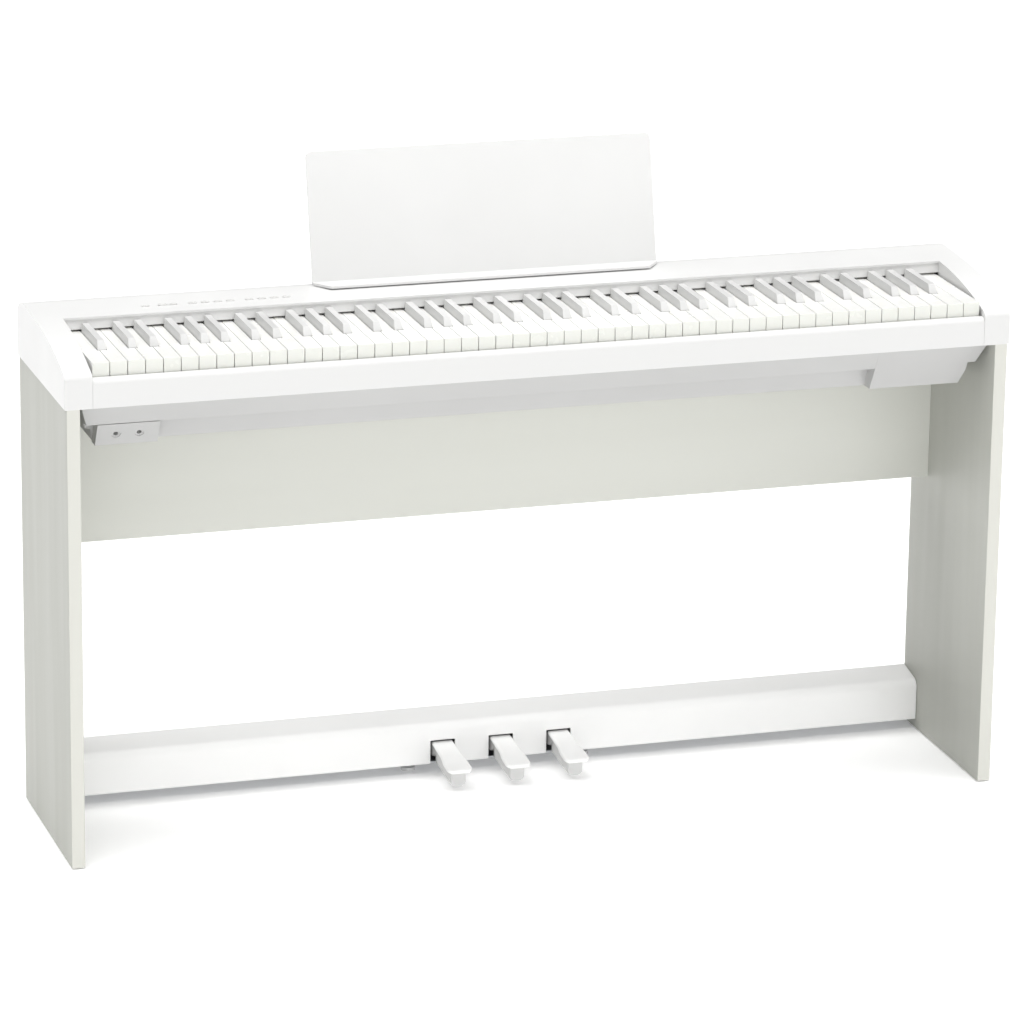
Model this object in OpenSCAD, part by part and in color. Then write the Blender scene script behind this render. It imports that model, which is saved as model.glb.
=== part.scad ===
// Digital piano on a panel stand: 88 hinged keys in a moulded case, a speaker box under it,
// a lift-out music rest, two side boards, a back board and a rail with three pedals.
// Millimetres. X runs along the keyboard, the player sits at -Y, Z is up from the floor.

/* [Case] */
// Width of the case over its ends
case_w = 1300; // [1290:1:1600]
// Depth of the case and of the side boards
case_d = 284; // [270:1:345]
// Wall of the moulded case
case_wall = 3; // [2:0.5:4]
// Thickness of the base plate
base_t = 4; // [3:0.5:6]
// Height at which the round of the front edge starts
front_round_v = 38.4; // [36:0.2:46]
// Radius of the front top edge
front_round_r = 8; // [6:0.5:12]
// Steepness of the cheeks at the front, degrees
cheek_slope = 18; // [14:1:22]
// Radius of the long curve of the cheeks
cheek_r = 620; // [560:5:640]
// Steepness of the top panel, degrees
panel_slope = 3; // [2:0.5:4]
// Radius of the rear crown
crown_r = 62; // [45:1:70]
// Radius of the rear top edge
rear_round_r = 8; // [5:0.5:10]
// Gap between two pieces that are screwed together
seam = 0.2; // [0.1:0.05:0.5]

/* [Keyboard] */
// Width of one white key with its gap
key_pitch = 23.5; // [22.5:0.1:24.5]
// Gap between two neighbouring keys
key_gap = 1.0; // [0.8:0.1:1.4]
// Gap between the last key and the cheek
key_end_gap = 2.5; // [2.3:0.1:4]
// Distance from the front of the case to the front of the keys
key_setback = 14; // [13.5:0.5:18]
// Length of a white key in front of the fallboard
white_len = 156; // [145:1:165]
// Length of a black key in front of the fallboard
black_len = 96; // [88:1:102]
// Height of the white key tops over the bottom of the case
white_top = 57; // [55:0.5:62]
// Height of the black key tops over the white ones
black_rise = 11.5; // [9:0.5:13]
// Width of a black key at its foot
black_w = 11; // [9.5:0.1:12.5]
// Width of a black key at its top
black_top_w = 9; // [8:0.1:9.5]
// Thickness of a key's body
key_t = 13; // [11:0.5:14]
// Height of a white key's front face
key_lip_h = 20.5; // [18:0.5:22]
// Downward travel of a white key at its front, which sets the room under it
key_travel = 10; // [8:0.5:10]
// Radius of the shaft that all keys turn on
key_shaft_r = 2; // [1.5:0.1:3]
// Running clearance of the key bores
key_run = 0.05; // [0.03:0.01:0.1]
// Distance from the fallboard back to the key shaft
pivot_back = 68; // [60:1:70]

/* [Speaker box] */
// Depth of the speaker box below the case
belly_h = 64; // [58:1:72]
// Wall of the speaker box
belly_wall = 2.5; // [2:0.5:3]
// Radius of a loudspeaker's flange
speaker_r = 56; // [46:1:57]

/* [Music rest] */
// Width of the music rest
rest_w = 485; // [420:5:585]
// Distance of the music rest's middle to the left of the middle of the keyboard
rest_shift = 14; // [-30:1:30]
// Height of the music rest over the case
rest_h = 174; // [150:1:200]
// Thickness of the music rest
rest_t = 4; // [3:0.5:5]
// Lean of the music rest, degrees
rest_lean = 12.5; // [9:0.5:13]
// Clearance of the rest's tabs in the case
tab_gap = 0.4; // [0.3:0.05:0.8]

/* [Stand] */
// Height of the side boards with their glides
stand_h = 626; // [520:1:755]
// Thickness of the side boards
board_t = 18; // [15:0.5:24]
// Distance of the boards' outer faces inside the ends of the case
board_inset = 2; // [1:0.5:6]
// Thickness of the floor glides
glide_h = 2; // [1.5:0.5:4]
// Thickness of the back board
back_t = 15; // [12:0.5:18]
// Height of the back board
back_h = 243; // [200:1:260]
// Distance from the front of the stand to the back board
back_setback = 222; // [218:1:226]
// Gap between the back board and the case
back_top_gap = 5; // [3:0.5:12]

/* [Pedals] */
// Height of the rail's bottom edge over the floor
rail_z = 15; // [9:0.5:16]
// Height of the rail's top over the floor
rail_top = 82; // [72:1:98]
// How much lower the rail's top is at its front
rail_drop = 8; // [4:0.5:12]
// Depth of the rail
rail_d = 50; // [48:1:54]
// Wall of the rail
rail_wall = 2.5; // [2:0.5:3]
// Distance between two pedals
pedal_pitch = 84; // [70:1:110]
// Distance of the middle pedal to the right of the middle of the keyboard
pedal_shift = 12; // [-60:1:60]
// Length of a pedal in front of the rail
pedal_reach = 88; // [80:1:106]
// Width of a pedal at its nose
pedal_w = 36; // [32:1:44]
// Width of a pedal where it leaves the rail
pedal_neck_w = 30; // [24:1:32]
// Height of a pedal's top over the floor at its nose
pedal_top = 34; // [33:0.5:36]
// Rise of a pedal from its nose to the rail, degrees
pedal_slope = 7.5; // [5:0.5:9]
// Angle that a pedal turns through when it is pressed
pedal_press = 3.5; // [2.5:0.1:4]
// Height of the slots in the rail over the pedals
slot_over = 3; // [2.5:0.5:8]
// Radius of the pedal shaft
pedal_shaft_r = 4; // [3:0.25:5]
// Running clearance of the pedal bores
pedal_run = 0.05; // [0.03:0.01:0.1]

/* [Buttons] */
// Width of a round-ended button
button_w = 11; // [9:0.5:13]
// Depth of a button, front to back
button_d = 6; // [5:0.5:7]
// Distance between two buttons of a group
button_pitch = 17; // [15:0.5:19]
// How far a button stands out of the panel
button_rise = 1.2; // [0.8:0.1:2]
// Gap around a button in its hole
button_gap = 0.35; // [0.3:0.05:0.5]

/* [Hidden] */
$fn = 48;
eps = 0.01;
far = 400;

// The case stands on the boards, so its own heights count up from case_z,
// and distances to the rear count from front_y.
front_y = -case_d / 2;
case_z = stand_h;
half_w = case_w / 2;
board_x = half_w - board_inset - board_t;

// Keyboard layout: 52 white keys, note 0 is the low A, classes count up from C
white_count = 52;
note_count = 88;
keys_w = white_count * key_pitch;
bay_half = keys_w / 2 + key_end_gap;
fall_u = key_setback + white_len;
black_front = fall_u - black_len;
pivot_u = fall_u + pivot_back;
key_under = white_top - key_t;
pivot_v = key_under + key_t / 2;
arm_end = pivot_u + 8;
arm_inset = 0.8;
fall_gap = 3;
middle_first = 39;
middle_last = 50;

// Speaker box: the front leans back under the case, and the middle is stepped back
belly_front = 14;
belly_step_v = -31;
belly_rear = 205;
belly_end_in = 4;
speaker_x = 430;
speaker_u = 130;
pod_left = [-600, -517];
pod_right = [470, 604];

// Pedal unit
rail_front = case_d - 2 - rail_d;
pedal_nose = rail_front - pedal_reach;
pedal_pivot_u = case_d - 16;
pedal_pivot_z = 32;
pedal_plate = 5;
chassis_t = 2.5;
pedal_arm_z = pedal_top - 9;
skirt_w = 22;
skirt_r = 6;
skirt_front = pedal_nose + 12;
skirt_rear = rail_front - 2;
skirt_low = (pedal_pivot_u - skirt_front) * tan(pedal_press) + 0.6;
foot_r = 10;
pedal_x = [for (i = [-1:1]) pedal_shift + i * pedal_pitch];
spring_u = case_d - 34;

// Height of a pedal's face at a distance u from the front
function tread_z(u) = pedal_top + (u - pedal_nose) * tan(pedal_slope);

// Controls sit in one row on the top panel
button_u = fall_u + 30;
power_x = -496;
volume_x = -466;
volume_w = 26;
tone_x = -432;
function_x = -355;
button_count = 4;
button_flange = 1.6;

// Points along an arc, both ends included
function arc(cx, cy, r, a0, a1, steps = 8) =
    [for (i = [0:steps]) let (a = a0 + (a1 - a0) * i / steps) [cx + r * cos(a), cy + r * sin(a)]];

// Side outline of the case as arcs that share their tangents, "inset" inside the outer face
function case_outline(inset = 0, bottom = 0) = let (
        a_front = 90 + cheek_slope,
        a_panel = 90 + panel_slope,
        a_rear = 52,
        c1 = [front_round_r, front_round_v],
        c2 = c1 - (cheek_r - front_round_r) * [cos(a_front), sin(a_front)],
        p2 = c2 + cheek_r * [cos(a_panel), sin(a_panel)],
        reach = case_d - rear_round_r - (crown_r - rear_round_r) * cos(a_rear)
            + crown_r * cos(a_panel) - p2[0],
        q = p2 + reach / cos(panel_slope) * [cos(panel_slope), sin(panel_slope)],
        c3 = q - crown_r * [cos(a_panel), sin(a_panel)],
        c4 = c3 + (crown_r - rear_round_r) * [cos(a_rear), sin(a_rear)])
    concat([[inset, bottom]],
        arc(c1[0], c1[1], front_round_r - inset, 180, a_front, 6),
        arc(c2[0], c2[1], cheek_r - inset, a_front, a_panel, 10),
        arc(c3[0], c3[1], crown_r - inset, a_panel, a_rear, 10),
        arc(c4[0], c4[1], rear_round_r - inset, a_rear, 0, 5),
        [[case_d - inset, bottom]]);

// Height of the top panel's face at a distance u from the front, on its straight stretch
panel_c2 = [front_round_r, front_round_v]
    - (cheek_r - front_round_r) * [cos(90 + cheek_slope), sin(90 + cheek_slope)];
panel_start = panel_c2 + cheek_r * [cos(90 + panel_slope), sin(90 + panel_slope)];
function panel_v(u) = panel_start[1] + (u - panel_start[0]) * tan(panel_slope);

// Extrudes an outline of [u, v] points along X, in the case's own heights
module along_x(x0, x1, outline) {
    translate([x0, front_y, case_z]) rotate([90, 0, 90])
        linear_extrude(height = x1 - x0) polygon(outline);
}

// A block given by its low and high corners in [x, u, v]
module block(low, high) {
    translate([low[0], front_y + low[1], case_z + low[2]])
        cube([high[0] - low[0], high[1] - low[1], high[2] - low[2]]);
}

// The same for the stand, with heights from the floor
module floor_block(low, high) {
    translate([low[0], front_y + low[1], low[2]])
        cube([high[0] - low[0], high[1] - low[1], high[2] - low[2]]);
}

// A bar along X at distance u and height z from the floor
module bar_x(x0, x1, u, z, r) {
    translate([x0, front_y + u, z]) rotate([0, 90, 0]) cylinder(h = x1 - x0, r = r);
}

// ---- Stand ----

edge_r = 1.5;

// Plan outline of a board with small rounds on its upright edges
function board_outline() = concat(
    arc(board_t - edge_r, -case_d / 2 + edge_r, edge_r, -90, 0, 3),
    arc(board_t - edge_r, case_d / 2 - edge_r, edge_r, 0, 90, 3),
    arc(edge_r, case_d / 2 - edge_r, edge_r, 90, 180, 3),
    arc(edge_r, -case_d / 2 + edge_r, edge_r, 180, 270, 3));

module side_board() {
    difference() {
        translate([board_x, 0, glide_h])
            linear_extrude(height = stand_h - glide_h) polygon(board_outline());
        for (b = board_brackets) place(b) bracket_hole(true);
    }
}

module side_board_left() { color("#e3e3dc") mirror([1, 0, 0]) side_board(); }

module side_board_right() { color("#e3e3dc") side_board(); }

module back_board() {
    top = case_z - back_top_gap;
    color("#dcdcd4") difference() {
        floor_block([-board_x, back_setback, top - back_h], [board_x, back_setback + back_t, top]);
        both_sides() for (b = back_brackets) place(b) bracket_hole(false);
        for (b = top_brackets) place(b) bracket_hole(true);
    }
}

module both_sides() {
    children();
    mirror([1, 0, 0]) children();
}

// An L bracket stands on two faces that meet at its origin: leg one on X = 0, leg two on Z = 0
bracket_leg = 30;
bracket_w = 24;
bracket_t = 2;
bracket_hole_at = 18;
screw_r = 2.25;
screw_clear = 0.1;
screw_len = 12;
screw_head_r = 4.5;
screw_head_h = 2.5;
back_rear = back_setback + back_t;

// Places are [x, u, z from the floor, turn]; these are for the right-hand side
back_brackets = [
    [board_x, back_rear, case_z - back_top_gap - 40, [-90, 0, 0]],
    [board_x, back_rear, case_z - back_top_gap - back_h + 40, [-90, 0, 0]]];
case_brackets = [[board_x, case_d - 17, case_z, [180, 0, 0]]];
rail_brackets = [[board_x, case_d - 22, rail_z + chassis_t, [0, 0, 0]]];
board_brackets = concat(back_brackets, case_brackets, rail_brackets);
top_brackets = [for (x = [-300, 300]) [x, back_rear, case_z, [180, 0, -90]]];

module place(b) {
    translate([b[0], front_y + b[1], b[2]]) rotate(b[3]) mirror([1, 0, 0]) children();
}

module bracket() {
    difference() {
        union() {
            translate([0, -bracket_w / 2, 0]) cube([bracket_t, bracket_w, bracket_leg]);
            translate([0, -bracket_w / 2, 0]) cube([bracket_leg, bracket_w, bracket_t]);
        }
        bracket_hole(true);
        bracket_hole(false);
    }
}

// The hole of one leg, long enough to reach into what the leg is fixed to
module bracket_hole(leg_one) {
    r = screw_r + screw_clear;
    if (leg_one) translate([-screw_len, 0, bracket_hole_at])
        rotate([0, 90, 0]) cylinder(h = screw_len + bracket_t + 1, r = r);
    else translate([bracket_hole_at, 0, -screw_len]) cylinder(h = screw_len + bracket_t + 1, r = r);
}

module screw(length = screw_len - 2) {
    translate([0, 0, -length]) cylinder(h = length + eps, r = screw_r);
    cylinder(h = screw_head_h, r = screw_head_r);
}

module bracket_screw(leg_one) {
    if (leg_one) translate([bracket_t, 0, bracket_hole_at]) rotate([0, 90, 0]) screw();
    else translate([bracket_hole_at, 0, bracket_t]) screw();
}

module corner_brackets() {
    color("#8f9294") {
        both_sides() for (b = board_brackets) place(b) bracket();
        for (b = top_brackets) place(b) bracket();
    }
}

module stand_screws() {
    color("#c9ccce") {
        both_sides() {
            for (b = board_brackets) place(b) bracket_screw(true);
            for (b = back_brackets) place(b) bracket_screw(false);
            for (b = rail_brackets) place(b) translate([bracket_hole_at, 0, bracket_t])
                screw(bracket_t + chassis_t + 0.5);
        }
        for (b = top_brackets) place(b) bracket_screw(true);
    }
}

// Thumb bolts come up through the brackets into the base of the case
module case_bolt() {
    translate([bracket_hole_at, 0, bracket_t]) {
        translate([0, 0, -bracket_t - base_t + 0.5]) cylinder(h = bracket_t + base_t, r = screw_r);
        cylinder(h = 7, r = 8);
    }
}

module case_bolts() {
    color("#3a3b3d") {
        both_sides() for (b = case_brackets) place(b) case_bolt();
        for (b = top_brackets) place(b) case_bolt();
    }
}

module floor_glides() {
    inset = 30;
    color("#4a4b4d") both_sides() for (s = [-1, 1])
        translate([board_x + board_t / 2, s * (case_d / 2 - inset), 0])
            cylinder(h = glide_h, r = board_t / 2 - 2);
}

// ---- Pedal rail ----

rail_round = 12;
rail_slope = 9;
rail_end_gap = 0.3;

// Section of the rail: upright front, round top edge, top that rises a little to the rear
function rail_outline(inset, bottom) = let (f = rail_front, r = case_d - 2)
    concat([[f + inset, bottom]],
        arc(f + rail_round, rail_top - rail_drop - rail_round, rail_round - inset,
            180, 90 + rail_slope, 6),
        [[r - inset, rail_top - inset], [r - inset, bottom]]);

module rail_section(inset, bottom, half) {
    translate([-half, front_y, 0]) rotate([90, 0, 90])
        linear_extrude(height = 2 * half) polygon(rail_outline(inset, bottom));
}

module pedal_rail() {
    slot_gap = 2.5;
    slot_half = pedal_neck_w / 2 + slot_gap;
    color("#f4f4f2") difference() {
        rail_section(0, rail_z, board_x - rail_end_gap);
        rail_section(rail_wall, rail_z - 1, board_x + 1);
        for (x = pedal_x) floor_block([x - slot_half, rail_front - 1, rail_z - 1],
            [x + slot_half, rail_front + rail_wall + 1, tread_z(rail_front) + slot_over]);
    }
}

module pedal_chassis() {
    ear = 2.5;
    ear_in = pedal_neck_w / 2 + 1;
    inside = rail_wall + 0.3;
    color("#85888b") difference() {
        union() {
            floor_block([-board_x + rail_end_gap, rail_front + inside, rail_z],
                [board_x - rail_end_gap, case_d - 2 - inside, rail_z + chassis_t]);
            for (x = pedal_x) for (s = [-1, 1])
                translate([x + s * (ear_in + ear / 2), 0, 0])
                    floor_block([-ear / 2, pedal_pivot_u - 10, rail_z + chassis_t - eps],
                        [ear / 2, case_d - 2 - inside, pedal_pivot_z + 11]);
        }
        for (x = pedal_x)
            bar_x(x - 2 * pedal_w, x + 2 * pedal_w, pedal_pivot_u, pedal_pivot_z,
                pedal_shaft_r + pedal_run);
        both_sides() for (b = rail_brackets) place(b) bracket_hole(false);
    }
}

module pedal_shaft() {
    half = pedal_pitch + pedal_neck_w / 2 + 6;
    color("#c4c7ca")
        bar_x(pedal_shift - half, pedal_shift + half, pedal_pivot_u, pedal_pivot_z, pedal_shaft_r);
}

// Plan outline of a tread, counted back from its nose: a narrow neck, a wide nose with round corners
function pedal_outline() = let (
        w = pedal_w / 2, k = pedal_neck_w / 2, r = 10, narrow = 52, curve = 30, rear = pedal_reach + 6)
    concat([[-k, rear], [-k, narrow]],
        [for (i = [1:5]) let (t = i / 6) [-k - (w - k) * (1 - cos(180 * t)) / 2, narrow - curve * t]],
        arc(-w + r, r, r, 180, 270, 6),
        arc(w - r, r, r, 270, 360, 6),
        [for (i = [5:-1:1]) let (t = i / 6) [k + (w - k) * (1 - cos(180 * t)) / 2, narrow - curve * t]],
        [[k, narrow], [k, rear]]);

// Front view of the body under the tread, counted up from its lower edge, its lower corners round
function skirt_outline(top) = let (h = skirt_w / 2, r = skirt_r)
    concat([[-h, top]], arc(-h + r, r, r, 180, 270, 5), arc(h - r, r, r, 270, 360, 5), [[h, top]]);

// Side view of a pedal under its tread, with the arm that turns on the shaft
function pedal_side(low) = let (under = pedal_plate - 1, inside = rail_front + 5)
    [[skirt_front, low], [skirt_rear, low], [skirt_rear, pedal_arm_z], [pedal_pivot_u, pedal_arm_z],
        [pedal_pivot_u, pedal_pivot_z + 5], [inside, tread_z(inside) - under],
        [skirt_front, tread_z(skirt_front) - under]];

module pedal_slab(half, outline) {
    translate([-half, front_y, 0]) rotate([90, 0, 90]) linear_extrude(height = 2 * half) polygon(outline);
}

module pedal(x) {
    hub_r = 8;
    lead = 8;
    arm_half = pedal_neck_w / 2 - 1;
    arm_front = rail_front + 4;
    dip = atan((rail_z - skirt_low) / (skirt_rear - skirt_front));
    translate([x, 0, 0]) difference() {
        union() {
            translate([0, front_y + pedal_nose, pedal_top - pedal_plate]) rotate([pedal_slope, 0, 0])
                linear_extrude(height = pedal_plate) polygon(pedal_outline());
            intersection() {
                pedal_slab(skirt_w / 2 + 1, pedal_side(0));
                translate([0, front_y + skirt_rear, rail_z]) rotate([90 + dip, 0, 0])
                    translate([0, 0, -lead]) linear_extrude(height = pedal_reach + lead)
                        polygon(skirt_outline(2 * pedal_top));
            }
            pedal_slab(arm_half, [[arm_front, pedal_arm_z], [pedal_pivot_u, pedal_arm_z],
                [pedal_pivot_u, pedal_pivot_z + 5], [arm_front, tread_z(arm_front) - 1]]);
            bar_x(-pedal_neck_w / 2, pedal_neck_w / 2, pedal_pivot_u, pedal_pivot_z, hub_r);
        }
        bar_x(-pedal_w, pedal_w, pedal_pivot_u, pedal_pivot_z, pedal_shaft_r + pedal_run);
    }
}

module pedal_left() { color("#f2f2f0") pedal(pedal_x[0]); }

module pedal_centre() { color("#f2f2f0") pedal(pedal_x[1]); }

module pedal_right() { color("#f2f2f0") pedal(pedal_x[2]); }

// Round feet under the chassis take the tread to the floor
module rail_feet() {
    stem_r = 4;
    pad_h = 5;
    color("#c8c8c8") for (s = [-1, 1])
        translate([pedal_shift + s * 1.5 * pedal_pitch, front_y + pedal_pivot_u - 8, 0]) {
            cylinder(h = pad_h, r = foot_r);
            cylinder(h = rail_z - seam, r = stem_r);
        }
}

// Coil spring: a round wire carried along a helix
module spring(x, z0, z1) {
    coil_r = 5;
    wire_r = 0.7;
    turns = 3;
    rings = 60;
    sides = 6;
    rise = z1 - z0 - 2 * wire_r;
    points = [for (i = [0:rings]) for (j = [0:sides - 1]) let (
            t = i / rings, a = 360 * turns * t, b = 360 * j / sides,
            rr = coil_r + wire_r * cos(b))
        [rr * cos(a), rr * sin(a), z0 + wire_r + rise * t + wire_r * sin(b)]];
    faces = concat(
        [[for (j = [0:sides - 1]) j]],
        [for (i = [0:rings - 1]) for (j = [0:sides - 1]) let (k = (j + 1) % sides)
            [i * sides + j, (i + 1) * sides + j, (i + 1) * sides + k, i * sides + k]],
        [[for (j = [sides - 1:-1:0]) rings * sides + j]]);
    translate([x, front_y + spring_u, 0]) polyhedron(points, faces, convexity = 10);
}

module pedal_spring(x) {
    color("#9a9da0") spring(x, rail_z + chassis_t + 0.1, pedal_arm_z - 0.4);
}

module pedal_spring_left() { pedal_spring(pedal_x[0]); }

module pedal_spring_centre() { pedal_spring(pedal_x[1]); }

module pedal_spring_right() { pedal_spring(pedal_x[2]); }

// ---- Case ----

rear_inner = case_d - case_wall;
socket_v = 22;
socket_list = [[-262, 12, 12], [-225, 14, 12], [-195, 14, 9], [-155, 16, 14], [-120, 16, 14]];

// Places of the screws that hold the base to the upper case
screw_x = half_w - 13;
rear_screw_x = 340;
base_screws = [[-screw_x, 46], [screw_x, 46], [-screw_x, case_d - 50], [screw_x, case_d - 50],
    [-rear_screw_x, case_d - 18], [rear_screw_x, case_d - 18]];
pilot_r = 1.6;

rest_tabs = [-rest_shift - 200, -rest_shift, -rest_shift + 200];
tab_w = 30;
tab_depth = 12;
rest_u = fall_u + 72;

module upper_case() {
    open_v = white_top + fall_gap;
    color("#f7f7f6") difference() {
        union() {
            difference() {
                along_x(-half_w, half_w, case_outline());
                along_x(-half_w + case_wall, half_w - case_wall, case_outline(case_wall, -1));
                // The key bay: open above the keys and at the front
                block([-bay_half, -1, -1], [bay_half, fall_u, far]);
            }
            // Cheek walls beside the keys
            both_sides() intersection() {
                along_x(bay_half, bay_half + case_wall, case_outline(0, base_t + seam));
                block([0, -1, 0], [far * 2, fall_u + case_wall, far]);
            }
            // Fallboard, with a lean that runs into the top panel
            intersection() {
                along_x(-bay_half, bay_half, [[fall_u, open_v], [fall_u + 3, panel_v(fall_u)],
                    [fall_u + 3, 200], [fall_u + 3 + case_wall, 200], [fall_u + 3 + case_wall, open_v]]);
                along_x(-half_w, half_w, case_outline());
            }
            // Bosses hang from the case's skin down to the base
            intersection() {
                for (s = base_screws) translate([s[0], front_y + s[1], case_z + base_t + seam])
                    cylinder(h = far, r = 4);
                along_x(-half_w, half_w, case_outline());
            }
        }
        for (s = base_screws) translate([s[0], front_y + s[1], case_z]) cylinder(h = 18, r = pilot_r);
        panel_cuts();
        for (x = rest_tabs) block([x - tab_w / 2 - tab_gap, rest_u - tab_gap, white_top],
            [x + tab_w / 2 + tab_gap, rest_u + rest_t + tab_gap, far]);
        for (s = socket_list) translate([s[0], front_y + rear_inner - 1, case_z + socket_v])
            rotate([-90, 0, 0]) translate([-s[1] / 2 - 0.3, -s[2] / 2 - 0.3, 0])
                cube([s[1] + 0.6, s[2] + 0.6, case_wall + 2]);
    }
}

// Puts a control on the sloping panel: Z runs out of its face, which is at zero
module on_panel(x) {
    translate([x, front_y + button_u, case_z + panel_v(button_u)]) rotate([panel_slope, 0, 0]) children();
}

// A round-ended slug, w long in X and d wide in Y
module slug(w, d, z0, z1) {
    r = d / 2;
    translate([0, 0, z0]) linear_extrude(height = z1 - z0) polygon(concat(
        arc(w / 2 - r, 0, r, -90, 90, 10), arc(-w / 2 + r, 0, r, 90, 270, 10)));
}

module button_cut(x, w) {
    on_panel(x) slug(w + 2 * button_gap, button_d + 2 * button_gap, -2 * case_wall, 2 * case_wall);
}

module panel_cuts() {
    button_cut(power_x, button_w);
    button_cut(volume_x, volume_w);
    for (first = [tone_x, function_x]) for (i = [0:button_count - 1])
        button_cut(first + i * button_pitch, button_w);
}

module button(x) {
    under = -case_wall - 0.3;
    on_panel(x) {
        slug(button_w, button_d, under - eps, button_rise);
        slug(button_w + 2, button_d + 2.4, under - button_flange, under);
    }
}

module power_button() { color("#e9e9e7") button(power_x); }

// The rocker tips to either side about a pin under its middle
module volume_rocker() {
    under = -case_wall - 0.5;
    color("#e9e9e7") on_panel(volume_x) {
        slug(volume_w - 0.8, button_d, under - eps, button_rise);
        slug(10, button_d + 2.4, under - button_flange, under);
    }
}

module tone_buttons() {
    color("#e9e9e7") for (i = [0:button_count - 1]) button(tone_x + i * button_pitch);
}

module function_buttons() {
    color("#e9e9e7") for (i = [0:button_count - 1]) button(function_x + i * button_pitch);
}

module panel_board() {
    board_v = -11;
    switch = 4;
    switch_top = -case_wall - 0.3 - button_flange - 1.8;
    centres = concat([power_x, volume_x - 8, volume_x + 8],
        [for (f = [tone_x, function_x]) for (i = [0:button_count - 1]) f + i * button_pitch]);
    color("#2f6b4f") {
        on_panel((power_x + function_x) / 2 + 24)
            translate([-128, -9, board_v - 1.6]) cube([256, 18, 1.6]);
        for (x = centres) on_panel(x)
            translate([-switch / 2, -switch / 2, board_v - eps])
                cube([switch, switch, switch_top - board_v - 1.2]);
    }
}

module key_slip() {
    half = bay_half - seam;
    r = 7;
    t = case_wall;
    top = white_top - key_lip_h + 2;
    back = key_setback - 1.5;
    color("#f5f5f4") along_x(-half, half, concat([[0, 0]], arc(r, top - r, r, 180, 90, 6),
        [[back, top], [back, top - t]], arc(r, top - r, r - t, 90, 180, 6), [[t, 0]]));
}

module case_base() {
    in = case_wall + seam;
    cable_hole_r = 12;
    color("#ececea") difference() {
        block([-half_w + in, in, 0], [half_w - in, case_d - in, base_t]);
        for (s = base_screws) translate([s[0], front_y + s[1], case_z]) {
            translate([0, 0, -1]) cylinder(h = base_t + 2, r = 2);
            translate([0, 0, -1]) cylinder(h = 1 + 2.4, r = 3.8);
        }
        for (x = [-speaker_x, speaker_x]) translate([x, front_y + speaker_u, case_z - 1])
            cylinder(h = base_t + 2, r = cable_hole_r);
        both_sides() for (b = case_brackets) place(b) bracket_hole(false);
        for (b = top_brackets) place(b) bracket_hole(false);
    }
}

module case_screws() {
    color("#4c4e50") for (s = base_screws) translate([s[0], front_y + s[1], case_z + 0.2]) {
        cylinder(h = 2, r = 3.5);
        cylinder(h = 15, r = pilot_r - 0.05);
    }
}

// Sockets stand in the rear wall, each a box with its opening to the rear
module rear_sockets() {
    color("#35373a") for (s = socket_list)
        translate([s[0] - s[1] / 2, front_y + case_d - 18, case_z + socket_v - s[2] / 2]) difference() {
            cube([s[1], 17.5, s[2]]);
            translate([s[1] / 2, 4, s[2] / 2]) rotate([-90, 0, 0]) cylinder(h = 15, r = s[2] / 2 - 2.5);
        }
}

// ---- Speaker box ----

// Outline of the box in [u, v], w inside its skin and open upwards to "top":
// stepped back in the middle, full at the right-hand end
function belly_outline(w, full, top) = let (bottom = -belly_h + w, front = belly_front + w)
    concat([[front, top], [front, 0]],
        full ? [[front + 36, bottom]]
             : [[front + 18, belly_step_v + w], [front + 42, belly_step_v - 3 + w], [front + 56, bottom]],
        [[belly_rear - 14 - w, bottom], [belly_rear - w, bottom + 16], [belly_rear - w, top]]);

// Ends of the box seen from the front: they lean inwards towards the bottom, with a small step
function belly_half_view(w) = let (end = board_x - belly_end_in - w)
    [[end, 1], [end, 0], [end - 15, -belly_h + 22], [end - 22, -belly_h + 20], [end - 28, -belly_h - 1]];

module belly_solid(w, full, x0, x1, top) {
    intersection() {
        along_x(x0, x1, belly_outline(w, full, top));
        translate([0, front_y + case_d, case_z]) rotate([90, 0, 0])
            linear_extrude(height = case_d) polygon(concat(
                [for (p = belly_half_view(w)) p],
                [for (i = [4:-1:0]) [-belly_half_view(w)[i][0], belly_half_view(w)[i][1]]]));
    }
}

module speaker_box() {
    w = belly_wall;
    slot_l = 84;
    slot_w = 3;
    slot_count = 9;
    slot_step = 9;
    color("#d2d2d2") difference() {
        union() {
            belly_solid(0, false, -board_x, board_x, 0);
            belly_solid(0, true, pod_right[0], pod_right[1], 0);
        }
        belly_solid(w, false, -board_x, board_x, 1);
        belly_solid(w, true, pod_right[0] + w, pod_right[1] - w, 1);
        for (x = [-speaker_x, speaker_x]) for (i = [0:slot_count - 1])
            let (u = speaker_u + (i - (slot_count - 1) / 2) * slot_step)
                block([x - slot_l / 2, u - slot_w / 2, -belly_h - 1],
                    [x + slot_l / 2, u + slot_w / 2, -belly_h + w + 1]);
    }
}

jack_x = [pod_left[0] + 26, pod_left[1] - 26];
jack_r = 3.3;
jack_depth = 15;

// The headphone box fills the step at the left end, its jacks face the player
module headphone_box() {
    gap = 0.3;
    bezel_r = 6;
    bezel_depth = 1;
    front_high = [belly_front + 18.6, belly_step_v - 3 * gap];
    front_low = [belly_front + 36, -belly_h];
    lean = atan2(front_low[0] - front_high[0], front_high[1] - front_low[1]);
    outline = [front_high, front_low,
        [belly_front + 56 - gap, -belly_h], [belly_front + 42 - gap, belly_step_v - 3 - gap]];
    color("#cfcfcf") difference() {
        along_x(pod_left[0], pod_left[1], outline);
        for (x = jack_x) translate([x, front_y + (front_high[0] + front_low[0]) / 2,
            case_z + (front_high[1] + front_low[1]) / 2]) rotate([90 + lean, 0, 0]) {
                translate([0, 0, -jack_depth]) cylinder(h = jack_depth + 2, r = jack_r);
                translate([0, 0, -bezel_depth]) cylinder(h = 5, r = bezel_r);
            }
    }
}

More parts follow.
